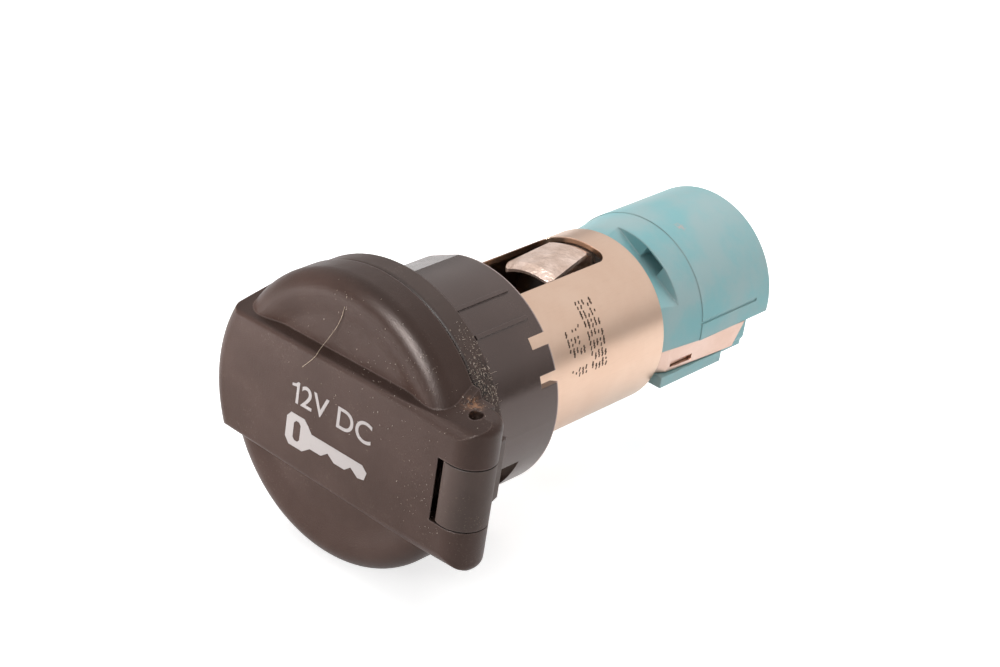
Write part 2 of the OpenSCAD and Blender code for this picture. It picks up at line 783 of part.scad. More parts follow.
module ground_strip() {
  end_slant = 1.8;
  slot_clear = 0.1;
  color([0.92, 0.80, 0.72]) difference() {
    translate([0, 0, -strip_bottom]) linear_extrude(strip_w)
      polygon(sheet(strip_path(housing_front + base_wall / 2, strip_rear), strip_t));
    // Slanted rear end
    translate([strip_in_r, strip_rear, -strip_top])
      rotate([-atan(end_slant / strip_w), 0, 0])
        translate([0, 0, -2 * strip_w]) cube([strip_w, strip_w, 3 * strip_w]);
    // Slot that the ground tab comes through
    translate([0, ground_tab_front - slot_clear, ground_z - ground_t / 2 - slot_clear])
      cube([2 * housing_r, ground_tab_len + 2 * slot_clear, ground_t + 2 * slot_clear]);
  }
}

module connector_housing() {
  lower_rear = housing_rear - housing_step;
  rail_front = neck_front + rail_gap;
  rail_x = housing_r - rail_sink;
  channel_top = -strip_top + strip_clear;
  channel_bottom = -strip_bottom - strip_room;
  // The channel and the slot leave a little air around the metal
  back_clear = 0.02;
  tab_clear = 0.1;
  // Height of the hole in the facet, below the cone of the neck
  facet_hole_high = spigot_r + (neck_r - spigot_r) * facet_len / neck_len - facet_hole_skin
    - facet_floor;
  groove_deep = 0.25;
  groove_w = 0.35;
  groove_z = 1.6;
  groove_front = 44.6;
  groove_len = 13;
  route = strip_path(housing_front - cut, housing_rear + cut);
  color([0.58, 0.74, 0.76]) difference() {
    union() {
      difference() {
        union() {
          rod(spigot_r, housing_front, neck_front + cut);
          axial() translate([0, 0, neck_front])
            cylinder(r1 = spigot_r, r2 = neck_r, h = neck_rear - neck_front);
          rod(housing_r, neck_rear, housing_rear);
        }
        // The lower half is as wide as the spigot, and shorter
        difference() {
          translate([-2 * housing_r, neck_front, channel_bottom - 2 * housing_r])
            cube([4 * housing_r, 2 * housing_rear, 2 * housing_r]);
          rod(spigot_r - lower_step, 0, lower_rear);
        }
        translate([-housing_r - cut, lower_rear, -housing_r - cut])
          cube([2 * (housing_r + cut), housing_step + cut, housing_r + cut + channel_top]);
      }
      // Rail that holds the strip from below
      translate([neck_cavity_r + cut / 2, rail_front, channel_bottom - rail_h])
        cube([rail_x - neck_cavity_r - cut / 2, rail_len, rail_h]);
      translate([neck_cavity_r + cut / 2, rail_front, channel_bottom - rail_h + rail_step])
        cube([rail_x - rail_step - neck_cavity_r - cut / 2, lower_rear - rail_front, rail_h - rail_step]);
    }
    rod(neck_cavity_r, base_rear, housing_rear + cut);
    intersection() {
      rod(cavity_r, neck_rear, housing_rear + cut);
      translate([-shroud_flat, 0, -housing_r]) cube([2 * shroud_flat, 2 * housing_rear, 2 * housing_r]);
    }
    rod(rivet_d / 2, housing_front - cut, base_rear + cut);
    // Channel for the ground strip
    translate([0, 0, channel_bottom]) linear_extrude(channel_top - channel_bottom)
      polygon(concat(
        [for (i = [0 : len(route) - 1]) mitre(route, i, strip_t + back_clear)],
        [[2 * housing_r, housing_rear + cut], [2 * housing_r, housing_front - cut]]
      ));
    // Slot for the ground tab
    translate([0, ground_tab_front - tab_clear, ground_z - ground_t / 2 - tab_clear])
      cube([housing_r, ground_tab_len + 2 * tab_clear, ground_t + 2 * tab_clear]);
    // Facet on the neck, with a hole in its rear wall
    at_angle(facet_turn) {
      translate([facet_floor, neck_front, -housing_r])
        cube([housing_r, facet_len, 2 * housing_r]);
      translate([facet_floor, facet_rear - cut, -facet_hole_w / 2])
        cube([facet_hole_high, facet_hole_deep + cut, facet_hole_w]);
    }
    // Parting groove along the side
    translate([housing_r - groove_deep, groove_front, groove_z - groove_w / 2])
      cube([housing_r, groove_len, groove_w]);
  }
}

lid();
hinge_pin();
cap_frame();
mounting_collar();
panel_clip_right();
panel_clip_left();
socket_shell();
grip_clip();
insulating_disc();
contact_rivet();
rivet_washer();
positive_terminal();
ground_terminal();
ground_strip();
connector_housing();
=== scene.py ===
import math
import bpy
from mathutils import Matrix, Vector


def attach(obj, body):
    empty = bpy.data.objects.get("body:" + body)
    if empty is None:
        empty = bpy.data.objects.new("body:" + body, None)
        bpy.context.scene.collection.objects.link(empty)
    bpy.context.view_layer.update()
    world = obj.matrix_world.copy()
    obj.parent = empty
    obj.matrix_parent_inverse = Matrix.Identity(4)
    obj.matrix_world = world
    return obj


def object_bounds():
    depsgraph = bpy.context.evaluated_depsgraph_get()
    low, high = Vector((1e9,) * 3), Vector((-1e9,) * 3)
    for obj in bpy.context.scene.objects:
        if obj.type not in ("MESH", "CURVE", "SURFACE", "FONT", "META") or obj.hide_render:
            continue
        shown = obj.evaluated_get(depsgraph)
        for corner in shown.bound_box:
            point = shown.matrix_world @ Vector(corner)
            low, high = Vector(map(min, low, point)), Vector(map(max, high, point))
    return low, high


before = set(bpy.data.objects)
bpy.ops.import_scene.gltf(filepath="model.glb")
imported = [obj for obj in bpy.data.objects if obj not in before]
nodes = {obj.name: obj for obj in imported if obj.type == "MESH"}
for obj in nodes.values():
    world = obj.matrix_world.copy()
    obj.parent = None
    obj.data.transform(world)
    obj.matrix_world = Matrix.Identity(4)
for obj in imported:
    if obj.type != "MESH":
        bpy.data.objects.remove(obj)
cadLow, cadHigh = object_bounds()
mm = 0.001
print("frame loaded:", len(nodes), "nodes")


def linked(name, data):
    piece = bpy.data.objects.new(name, data)
    bpy.context.scene.collection.objects.link(piece)
    return piece


# camera, fitted to the rims of the socket in the photograph
def photoCamera():
    view = {
        "azimuth": 41.0898, "elevation": 21.2293, "roll": 10.4589,
        "distance": 302.678 * mm, "right": 13.19877 * mm, "up": 8.03332 * mm,
        "lens": 93.112, "sensor": 36, "near": 0.01, "far": 20,
    }
    a, e, r = (math.radians(view[k]) for k in ("azimuth", "elevation", "roll"))
    back = Vector((math.sin(a) * math.cos(e), -math.cos(a) * math.cos(e), math.sin(e)))
    right = Vector((math.cos(a), math.sin(a), 0))
    up = back.cross(right)
    place = back * view["distance"] + right * view["right"] + up * view["up"]
    unroll = Matrix.Rotation(-r, 3, "Y")  # the socket lies rolled about its own axis
    columns = [unroll @ v for v in (right, up, back)]
    camera = linked("photoCamera", bpy.data.cameras.new("photoCamera"))
    turn = Matrix(columns).transposed()
    camera.matrix_world = Matrix.Translation(unroll @ place) @ turn.to_4x4()
    camera.data.lens = view["lens"]
    camera.data.sensor_width = view["sensor"]
    camera.data.clip_start = view["near"]
    camera.data.clip_end = view["far"]
    bpy.context.scene.camera = camera


photoCamera()
print("camera ready")


# small helpers for node trees: a socket is fed by another socket or by a plain value
def feed(tree, socket, value):
    if isinstance(value, bpy.types.NodeSocket):
        tree.links.new(value, socket)
    elif socket.type == "RGBA":
        socket.default_value = (*value, 1)
    else:
        socket.default_value = value


def maths(tree, kind, *values):
    node = tree.nodes.new("ShaderNodeMath")
    node.operation = kind
    for value, socket in zip(values, node.inputs):
        feed(tree, socket, value)
    return node.outputs[0]


def times(tree, a, b):
    return maths(tree, "MULTIPLY", a, b)


def vectorMath(tree, kind, a, b=None):
    node = tree.nodes.new("ShaderNodeVectorMath")
    node.operation = kind
    feed(tree, node.inputs[0], a)
    if b is not None:
        feed(tree, node.inputs["Scale" if kind == "SCALE" else 1], b)
    return node.outputs["Value" if kind in ("LENGTH", "DISTANCE", "DOT_PRODUCT") else "Vector"]


def splitAxes(tree, vector):
    node = tree.nodes.new("ShaderNodeSeparateXYZ")
    feed(tree, node.inputs[0], vector)
    return node.outputs


def joinAxes(tree, x, y, z):
    node = tree.nodes.new("ShaderNodeCombineXYZ")
    for socket, value in zip(node.inputs, (x, y, z)):
        feed(tree, socket, value)
    return node.outputs[0]


def ramp(tree, value, span):
    node = tree.nodes.new("ShaderNodeMapRange")
    node.interpolation_type = "SMOOTHSTEP"
    node.inputs["From Min"].default_value, node.inputs["From Max"].default_value = span
    feed(tree, node.inputs["Value"], value)
    return node.outputs["Result"]


# small helpers for materials
def newMaterial(name):
    material = bpy.data.materials.new(name)
    material.use_nodes = True
    return material, material.node_tree, material.node_tree.nodes["Principled BSDF"]


def objectSpace(tree):
    return tree.nodes.new("ShaderNodeTexCoord").outputs["Object"]


def stretch(tree, vector, scale):
    mapping = tree.nodes.new("ShaderNodeMapping")
    feed(tree, mapping.inputs["Scale"], scale)
    feed(tree, mapping.inputs["Vector"], vector)
    return mapping.outputs["Vector"]


def fromAxis(tree, space):
    return vectorMath(tree, "LENGTH", stretch(tree, space, (1, 0, 1)))


def noise(tree, vector, size, detail, rough=0.5):
    node = tree.nodes.new("ShaderNodeTexNoise")
    node.inputs["Scale"].default_value = 1 / size  # size of a patch in metres
    node.inputs["Detail"].default_value = detail
    node.inputs["Roughness"].default_value = rough
    feed(tree, node.inputs["Vector"], vector)
    return node.outputs["Fac"]


def mixColour(tree, factor, a, b):
    node = tree.nodes.new("ShaderNodeMix")
    node.data_type = "RGBA"
    for number, value in ((0, factor), (6, a), (7, b)):  # the colour sockets of this node go by number
        feed(tree, node.inputs[number], value)
    return node.outputs[2]


def bump(tree, height, depth, below=None):
    node = tree.nodes.new("ShaderNodeBump")
    node.inputs["Distance"].default_value = depth
    feed(tree, node.inputs["Height"], height)
    if below is not None:
        feed(tree, node.inputs["Normal"], below)
    return node.outputs["Normal"]


# masks: how much the rounded normal turns at an edge, and how open a point is
masks = {"edgeSamples": 4, "edgeSpan": (0.995, 0.93), "cavitySamples": 8, "cavitySpan": (0.75, 0.35)}


def softNormal(tree, radius):
    node = tree.nodes.new("ShaderNodeBevel")
    node.samples = masks["edgeSamples"]
    node.inputs["Radius"].default_value = radius
    return node.outputs["Normal"]


def edgeMask(tree, radius):
    sharp = tree.nodes.new("ShaderNodeNewGeometry").outputs["Normal"]
    likeness = vectorMath(tree, "DOT_PRODUCT", softNormal(tree, radius), sharp)
    return ramp(tree, likeness, masks["edgeSpan"])


def cavityMask(tree, distance):
    node = tree.nodes.new("ShaderNodeAmbientOcclusion")
    node.samples = masks["cavitySamples"]
    node.inputs["Distance"].default_value = distance
    return ramp(tree, node.outputs["AO"], masks["cavitySpan"])


# moulded plastics: fine grain, edges lightened by wear and by a painted highlight, dust specks, and painted
# shade in the corners
# a noise is given by size, detail and roughness, and a span says where its ramp starts and ends
plastic = {
    "cloudDetail": (4, 0.55), "cloudSpan": (0.3, 0.7), "cornerReach": 0.8 * mm,
    "speckNoise": (0.22 * mm, 2), "speckSpan": (0.60, 0.72),
    "driftNoise": (5 * mm, 3), "driftSpan": (0.45, 0.7),
    "rimSpan": (0.60 * mm, 0.30 * mm), "wallSpan": (0.45 * mm, 0.15 * mm), "rimHighlightStrength": 0.8,
    "crumbNoise": (0.5 * mm, 4, 0.7), "crumbSpan": (0.42, 0.60),
    "smearNoise": (3 * mm, 5, 0.6), "smearSpan": (0.2, 0.8), "dustRough": 0.8, "grainDetail": (2, 0.6),
}


def mouldedPlastic(name, look):
    material, tree, shader = newMaterial(name)
    space = objectSpace(tree)
    cloud = ramp(tree, noise(tree, space, look["patch"], *plastic["cloudDetail"]), plastic["cloudSpan"])
    colour = mixColour(tree, cloud, look["colour"], look["second"])
    # edges lightened towards the worn colour: partly wear, partly a painted highlight along the edges
    edgeWearAndHighlight = times(tree, edgeMask(tree, look["edge"]), look["wear"])
    colour = mixColour(tree, edgeWearAndHighlight, colour, look["worn"])
    speck = ramp(tree, noise(tree, space, *plastic["speckNoise"]), plastic["speckSpan"])
    drift = ramp(tree, noise(tree, space, *plastic["driftNoise"]), plastic["driftSpan"])
    dust = times(tree, times(tree, speck, drift), look["speck"])
    # painted shade: corners, gaps and recesses darkened towards the deep colour as the occlusion mask closes
    # in
    paintedCornerShade = times(tree, cavityMask(tree, plastic["cornerReach"]), look["shade"])
    colour = mixColour(tree, paintedCornerShade, colour, look["deep"])
    colour = mixColour(tree, dust, colour, look["dirt"])
    # painted highlight: a pale line along the outer edge of the rear rim, in the worn colour
    if "rim" in look:
        behind = ramp(tree, splitAxes(tree, space)["Y"], [look["rim"] - d for d in plastic["rimSpan"]])
        outer = ramp(tree, fromAxis(tree, space), [look["rimRadius"] - d for d in plastic["wallSpan"]])
        paintedRimHighlight = times(tree, times(tree, behind, outer), plastic["rimHighlightStrength"])
        colour = mixColour(tree, paintedRimHighlight, colour, look["worn"])
    if "stain" in look:
        near = ramp(tree, vectorMath(tree, "DISTANCE", space, look["stain"]), (look["stainReach"], 0.0))
        crumbs = ramp(tree, noise(tree, space, *plastic["crumbNoise"]), plastic["crumbSpan"])
        colour = mixColour(tree, times(tree, near, crumbs), colour, look["stainColour"])
    feed(tree, shader.inputs["Base Color"], colour)
    smear = ramp(tree, noise(tree, space, *plastic["smearNoise"]), plastic["smearSpan"])
    rough = maths(tree, "MULTIPLY_ADD", smear, look["roughSpread"], look["rough"])
    rough = maths(tree, "MAXIMUM", rough, times(tree, dust, plastic["dustRough"]))
    feed(tree, shader.inputs["Roughness"], rough)
    grain = noise(tree, space, look["grain"], *plastic["grainDetail"])
    normal = bump(tree, grain, look["grainDeep"], softNormal(tree, look["edge"]))
    feed(tree, shader.inputs["Normal"], normal)
    feed(tree, shader.inputs["Specular IOR Level"], look["gloss"])
    feed(tree, shader.inputs["Specular Tint"], look.get("tint", (1, 1, 1)))
    return material


# in the looks of the plastics, deep is the colour of the painted shade in corners and gaps, and shade is its
# strength
capPlastic = mouldedPlastic("capPlastic", {
    "colour": (0.044, 0.023, 0.017), "second": (0.060, 0.034, 0.027), "worn": (0.28, 0.20, 0.175),
    "dirt": (0.46, 0.37, 0.31), "patch": 9 * mm, "edge": 0.28 * mm, "wear": 0.42, "speck": 0.10,
    "tint": (1, 0.88, 0.84), "deep": (0.015, 0.010, 0.008), "shade": 0.75,
    "stain": (16.8 * mm, -5.4 * mm, 9.7 * mm), "stainReach": 1.9 * mm, "stainColour": (0.34, 0.17, 0.09),
    "rough": 0.34, "roughSpread": 0.06, "grain": 0.13 * mm, "grainDeep": 0.026 * mm, "gloss": 0.27,
})
# on the frame, the stain is a near-black crumbly patch on the flange by the top of the hinge
framePlastic = mouldedPlastic("framePlastic", {
    "colour": (0.060, 0.036, 0.028), "second": (0.076, 0.047, 0.038), "worn": (0.24, 0.18, 0.16),
    "dirt": (0.42, 0.33, 0.24), "patch": 7 * mm, "edge": 0.2 * mm, "wear": 0.35, "speck": 0.25,
    "deep": (0.012, 0.008, 0.006), "shade": 0.8,
    "stain": (15.0 * mm, -2.0 * mm, 10.2 * mm), "stainReach": 5.5 * mm, "stainColour": (0.020, 0.014, 0.011),
    "rough": 0.42, "roughSpread": 0.12, "grain": 0.16 * mm, "grainDeep": 0.012 * mm, "gloss": 0.32,
})
# the collar's near-white worn colour mostly serves the painted highlight on its rear rim
collarPlastic = mouldedPlastic("collarPlastic", {
    "colour": (0.032, 0.017, 0.013), "second": (0.046, 0.027, 0.022), "worn": (0.75, 0.58, 0.55),
    "dirt": (0.35, 0.28, 0.22), "patch": 10 * mm, "edge": 0.15 * mm, "wear": 0.06, "speck": 0.05,
    "rim": max(v.co.y for v in nodes["mounting_collar"].data.vertices), "rimRadius": 14.35 * mm,
    "tint": (1, 0.82, 0.77), "deep": (0.006, 0.004, 0.003), "shade": 1.0,
    "rough": 0.18, "roughSpread": 0.08, "grain": 0.4 * mm, "grainDeep": 0.001 * mm, "gloss": 1.0,
})
tealPlastic = mouldedPlastic("tealPlastic", {
    "colour": (0.245, 0.520, 0.545), "second": (0.365, 0.525, 0.535), "worn": (0.46, 0.60, 0.60),
    "dirt": (0.45, 0.36, 0.32), "patch": 6 * mm, "edge": 0.3 * mm, "wear": 0.35, "speck": 0.10,
    "deep": (0.06, 0.18, 0.19), "shade": 0.12,
    "stain": (3.39 * mm, 48.9 * mm, 11.04 * mm), "stainReach": 1.1 * mm, "stainColour": (0.62, 0.44, 0.40),
    "rough": 0.38, "roughSpread": 0.12, "grain": 0.5 * mm, "grainDeep": 0.006 * mm, "gloss": 0.4,
})
fibreBoard = mouldedPlastic("fibreBoard", {
    "colour": (0.085, 0.050, 0.028), "second": (0.120, 0.072, 0.040), "worn": (0.20, 0.14, 0.09),
    "dirt": (0.05, 0.035, 0.02), "patch": 1.5 * mm, "edge": 0.1 * mm, "wear": 0.3, "speck": 0.3,
    "deep": (0.02, 0.012, 0.008), "shade": 0.6,
    "rough": 0.70, "roughSpread": 0.15, "grain": 0.1 * mm, "grainDeep": 0.02 * mm, "gloss": 0.3,
})


# rolled and plated metals: fine lines along the work, warm patches
metal = {
    "cloudDetail": (5, 0.6), "cloudSpan": (0.3, 0.7), "cornerReach": 1.0 * mm, "wall": 0.15 * mm,
    "lineNoise": (0.25 * mm, 4, 0.65), "fleckSpan": (0.5, 0.8), "insideShade": 0.8,
    "crumpleNoise": (0.9 * mm, 3, 0.5),
}


def workedMetal(name, look):
    material, tree, shader = newMaterial(name)
    space = objectSpace(tree)
    cloud = ramp(tree, noise(tree, space, look["patch"], *metal["cloudDetail"]), metal["cloudSpan"])
    colour = mixColour(tree, cloud, look["colour"], look["second"])
    fine = noise(tree, stretch(tree, space, look["lines"]), *metal["lineNoise"])
    flecks = times(tree, ramp(tree, fine, metal["fleckSpan"]), look["flecks"])
    colour = mixColour(tree, flecks, colour, look["dark"])
    # painted shade: corners, and the inside of the tube, darkened towards the dark colour
    paintedShade = times(tree, cavityMask(tree, metal["cornerReach"]), look["paintedShade"])
    if "inside" in look:
        inner = ramp(tree, fromAxis(tree, space), (look["inside"], look["inside"] - metal["wall"]))
        paintedShade = maths(tree, "MAXIMUM", paintedShade, times(tree, inner, metal["insideShade"]))
    colour = mixColour(tree, paintedShade, colour, look["dark"])
    feed(tree, shader.inputs["Base Color"], colour)
    rough = maths(tree, "MULTIPLY_ADD", fine, look["roughSpread"], look["rough"])
    feed(tree, shader.inputs["Roughness"], rough)
    feed(tree, shader.inputs["Metallic"], 1)
    normal = softNormal(tree, look["edge"])
    if "crumple" in look:
        normal = bump(tree, noise(tree, space, *metal["crumpleNoise"]), look["crumple"], normal)
    feed(tree, shader.inputs["Normal"], bump(tree, fine, look["deep"], normal))
    return material


tubeMetal = workedMetal("tubeMetal", {
    "colour": (0.80, 0.58, 0.45), "second": (0.76, 0.53, 0.40), "dark": (0.22, 0.14, 0.09),
    "patch": 8 * mm, "lines": (1, 0.12, 1), "paintedShade": 0.4, "flecks": 0.06, "inside": 11.24 * mm,
    "rough": 0.26, "roughSpread": 0.12, "deep": 0.004 * mm, "edge": 0.12 * mm,
})
stripMetal = workedMetal("stripMetal", {
    "colour": (0.76, 0.56, 0.48), "second": (0.70, 0.49, 0.40), "dark": (0.40, 0.27, 0.19),
    "patch": 5 * mm, "lines": (1, 0.2, 1), "paintedShade": 0.5, "flecks": 0.10,
    "rough": 0.26, "roughSpread": 0.14, "deep": 0.005 * mm, "edge": 0.1 * mm,
})
fingerMetal = workedMetal("fingerMetal", {
    "colour": (0.88, 0.70, 0.61), "second": (0.68, 0.51, 0.42), "dark": (0.2, 0.13, 0.09),
    "patch": 2 * mm, "lines": (1, 0.6, 1), "paintedShade": 0.7, "flecks": 0.2, "crumple": 0.30 * mm,
    "rough": 0.36, "roughSpread": 0.2, "deep": 0.01 * mm, "edge": 0.1 * mm,
})
brassMetal = workedMetal("brassMetal", {
    "colour": (0.80, 0.68, 0.46), "second": (0.72, 0.58, 0.36), "dark": (0.3, 0.22, 0.12),
    "patch": 3 * mm, "lines": (1, 0.3, 1), "paintedShade": 0.5, "flecks": 0.2,
    "rough": 0.28, "roughSpread": 0.15, "deep": 0.006 * mm, "edge": 0.1 * mm,
})
springMetal = workedMetal("springMetal", {
    "colour": (0.62, 0.58, 0.53), "second": (0.52, 0.48, 0.43), "dark": (0.2, 0.17, 0.14),
    "patch": 3 * mm, "lines": (1, 0.3, 1), "paintedShade": 0.5, "flecks": 0.2,
    "rough": 0.26, "roughSpread": 0.15, "deep": 0.006 * mm, "edge": 0.08 * mm,
})

finishes = {
    "lid": capPlastic, "cap_frame": framePlastic, "mounting_collar": collarPlastic,
    "connector_housing": tealPlastic, "socket_shell": tubeMetal, "grip_clip": fingerMetal,
    "insulating_disc": fibreBoard, "contact_rivet": brassMetal, "positive_terminal": brassMetal,
    "rivet_washer": springMetal, "ground_terminal": stripMetal, "ground_strip": stripMetal,
    "hinge_pin": springMetal, "panel_clip_right": springMetal, "panel_clip_left": springMetal,
}
for name, material in finishes.items():
    nodes[name].data.materials.clear()
    nodes[name].data.materials.append(material)
print("finishes on", len(finishes), "nodes")


# a curve or a grower becomes a plain mesh, and the object that carried it goes
def finished(carrier):
    bpy.context.view_layer.update()
    depsgraph = bpy.context.evaluated_depsgraph_get()
    mesh = bpy.data.meshes.new_from_object(carrier.evaluated_get(depsgraph), depsgraph=depsgraph)
    bpy.data.objects.remove(carrier)
    return mesh


def meshPiece(name, mesh, material, body):
    mesh.name = name
    mesh.materials.clear()
    mesh.materials.append(material)
    piece = linked(name, mesh)
    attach(piece, body)


# the flat mesh of a mark is laid on the band: x and z fill the given ranges, and y is its middle
def fitted(mesh, xRange, zRange, y):
    low = [min(v.co[i] for v in mesh.vertices) for i in range(3)]
    high = [max(v.co[i] for v in mesh.vertices) for i in range(3)]
    middle = (low[2] + high[2]) / 2
    for v in mesh.vertices:
        across = (v.co.x - low[0]) / (high[0] - low[0])
        upward = (v.co.y - low[1]) / (high[1] - low[1])
        v.co = Vector((
            xRange[0] + across * (xRange[1] - xRange[0]), y - (v.co.z - middle),
            zRange[0] + upward * (zRange[1] - zRange[0]),
        ))
    return mesh


# marks on the band: the words, and a figure one and a key with its slot drawn as given outlines
bandMarks = {
    "face": -9.8 * mm, "thick": 0.05 * mm, "letter": 4 * mm, "spacing": 1.02, "swell": 0.03 * mm,
    "voltWords": ((-4.65 * mm, 6.6 * mm), (0.6 * mm, 3.4 * mm)),
    "oneMark": ((-6.2 * mm, -5.05 * mm), (0.6 * mm, 3.4 * mm)),
    "keyMark": ((-6.5 * mm, 6.6 * mm), (-5.05 * mm, -0.8 * mm)),
    "colour": (0.40, 0.36, 0.35), "rubbed": (0.30, 0.25, 0.23), "rubbing": 0.25,
    "rubNoise": (0.5 * mm, 4, 0.6), "rubSpan": (0.60, 0.75),
    "grainNoise": (0.16 * mm, 2, 0.6), "grainDeep": 0.006 * mm, "roughSpan": (-1.0, 1.6),
}
markOutlines = {
    "keyMark": [
        [
            (0.0, 3.5), (0.6, 4.25), (2.8, 4.25), (3.5, 3.6), (4.1, 2.85), (12.3, 2.85), (13.1, 2.15),
            (12.8, 1.1), (11.8, 0.9), (10.6, 1.7), (9.7, 0.95), (8.0, 0.95), (6.9, 1.7), (5.9, 0.9),
            (4.1, 0.9), (2.9, 0.0), (0.7, 0.0), (0.0, 0.8),
        ],
        [(1.5, 3.45), (2.0, 3.45), (2.3, 3.1), (2.3, 1.2), (2.0, 0.85), (1.5, 0.85), (1.2, 1.2), (1.2, 3.1)],
    ],
    "oneMark": [
        [(0.75, 0), (1.15, 0), (1.15, 2.8), (0.85, 2.8), (0.55, 2.5), (0, 2.35), (0, 2.02), (0.75, 2.15)],
    ],
}


def markPaint():
    paint, tree, shader = newMaterial("markPaint")
    space = objectSpace(tree)
    worn = ramp(tree, noise(tree, space, *bandMarks["rubNoise"]), bandMarks["rubSpan"])
    rubbed = times(tree, worn, bandMarks["rubbing"])
    feed(tree, shader.inputs["Base Color"], mixColour(tree, rubbed, bandMarks["colour"], bandMarks["rubbed"]))
    grain = noise(tree, space, *bandMarks["grainNoise"])
    feed(tree, shader.inputs["Roughness"], ramp(tree, grain, bandMarks["roughSpan"]))
    feed(tree, shader.inputs["Normal"], bump(tree, grain, bandMarks["grainDeep"]))
    return paint


def layMark(name, curve, paint):
    curve.extrude = bandMarks["thick"] / 2
    mesh = fitted(finished(linked(name + "Curve", curve)), *bandMarks[name], bandMarks["face"])
    meshPiece(name, mesh, paint, "cap")


def layMarks():
    paint = markPaint()
    words = bpy.data.curves.new("voltWords", "FONT")
    words.body = "2V DC"
    words.size = bandMarks["letter"]
    words.space_character = bandMarks["spacing"]
    words.offset = bandMarks["swell"]
    layMark("voltWords", words, paint)
    for name, outlines in markOutlines.items():
        curve = bpy.data.curves.new(name, "CURVE")
        curve.dimensions = "2D"
        curve.fill_mode = "BOTH"
        for outline in outlines:
            spline = curve.splines.new("POLY")
            spline.points.add(len(outline) - 1)
            for point, (x, y) in zip(spline.points, outline):
                point.co = (x * mm, y * mm, 0, 1)
            spline.use_cyclic_u = True
        layMark(name, curve, paint)


layMarks()
print("band marks ready")


# Geometry Nodes: one helper makes a group, one grows a mesh from it
def growGroup(name, inputs):
    tree = bpy.data.node_groups.new(name, "GeometryNodeTree")
    tree.interface.new_socket("Geometry", in_out="OUTPUT", socket_type="NodeSocketGeometry")
    for label, kind in inputs.items():
        tree.interface.new_socket(label, in_out="INPUT", socket_type="NodeSocket" + kind)
    return tree, tree.nodes.new("NodeGroupInput").outputs, tree.nodes.new("NodeGroupOutput").inputs[0]


def grownMesh(name, tree, values):
    carrier = linked(name + "Grower", bpy.data.meshes.new(name))
    modifier = carrier.modifiers.new("grow", "NODES")
    modifier.node_group = tree
    for item in tree.interface.items_tree:
        if item.in_out == "INPUT":
            modifier[item.identifier] = values[item.name]
    return finished(carrier)


def step(tree, kind, values, **settings):
    node = tree.nodes.new("GeometryNode" + kind)
    for key, value in settings.items():
        setattr(node, key, value)
    for label, value in values.items():
        feed(tree, node.inputs[label], value)
    return node.outputs[0]


def randomValue(tree, kind, span, seed):
    node = tree.nodes.new("FunctionNodeRandomValue")
    node.data_type = kind
    first = 0 if kind == "FLOAT_VECTOR" else 1  # vectors have the first pair of sockets, floats the second
    node.inputs[2 * first].default_value, node.inputs[2 * first + 1].default_value = span
    feed(tree, node.inputs["Seed"], seed)
    return node.outputs[first]


# real geometry with its material, as the last steps of a group
def closeGroup(tree, instances, material, made, wrap=None):
    solid = step(tree, "RealizeInstances", {"Geometry": instances})
    if wrap is not None:
        solid = step(tree, "SetPosition", {"Geometry": solid, "Position": wrap})
    tree.links.new(step(tree, "SetMaterial", {"Geometry": solid, "Material": material}), made)


# dust: specks scattered on a node within reach of a point, thicker near it, and not behind the rear limit
speckShape = {
    "reachShare": (0.1, 1.0), "stretch": ((0.25, 0.2, 0.2), (3.0, 0.9, 0.7)),
    "turn": ((0, 0, 0), (6.28, 6.28, 6.28)),
}


def dustGroup():
    inputs = {
        "Source": "Object", "Density": "Float", "Seed": "Int", "Size": "Float", "Length": "Float",
        "Centre": "Vector", "Reach": "Float", "Rear": "Float", "Material": "Material",
    }
    tree, given, made = growGroup("dustSpecks", inputs)
    source = tree.nodes.new("GeometryNodeObjectInfo")
    feed(tree, source.inputs["Object"], given["Source"])
    points = step(tree, "DistributePointsOnFaces", {
        "Mesh": source.outputs["Geometry"], "Density": given["Density"], "Seed": given["Seed"],
    })
    place = tree.nodes.new("GeometryNodeInputPosition").outputs[0]
    away = vectorMath(tree, "LENGTH", vectorMath(tree, "SUBTRACT", place, given["Centre"]))
    share = randomValue(tree, "FLOAT", speckShape["reachShare"], given["Seed"])
    outside = maths(tree, "GREATER_THAN", away, times(tree, given["Reach"], share))
    behind = maths(tree, "GREATER_THAN", splitAxes(tree, place)["Y"], given["Rear"])
    drop = maths(tree, "MAXIMUM", outside, behind)
    kept = step(tree, "DeleteGeometry", {"Geometry": points, "Selection": drop}, domain="POINT")
    speck = step(tree, "MeshIcoSphere", {"Radius": 1, "Subdivisions": 1})
    spread = randomValue(tree, "FLOAT_VECTOR", speckShape["stretch"], given["Seed"])
    spread = vectorMath(tree, "MULTIPLY", spread, joinAxes(tree, given["Length"], 1, 1))
    scale = vectorMath(tree, "SCALE", spread, given["Size"])
    turn = randomValue(tree, "FLOAT_VECTOR", speckShape["turn"], given["Seed"])
    specks = step(tree, "InstanceOnPoints", {
        "Points": kept, "Instance": speck, "Rotation": turn, "Scale": scale,
    })
    closeGroup(tree, specks, given["Material"], made)
    return tree


dustFinish = mouldedPlastic("dustGrains", {
    "colour": (0.70, 0.60, 0.52), "second": (0.42, 0.31, 0.24), "worn": (0.6, 0.5, 0.4),
    "dirt": (0.2, 0.13, 0.08), "patch": 0.3 * mm, "edge": 0.02 * mm, "wear": 0.2, "speck": 0.2,
    "deep": (0.2, 0.14, 0.1), "shade": 0.2,
    "rough": 0.75, "roughSpread": 0.1, "grain": 0.05 * mm, "grainDeep": 0.005 * mm, "gloss": 0.2,
})
# where the dust lies: node, body and slot
dustHosts = {"cap": ("lid", "cap", "cap_plastic"), "flange": ("cap_frame", "socket", "frame_plastic")}
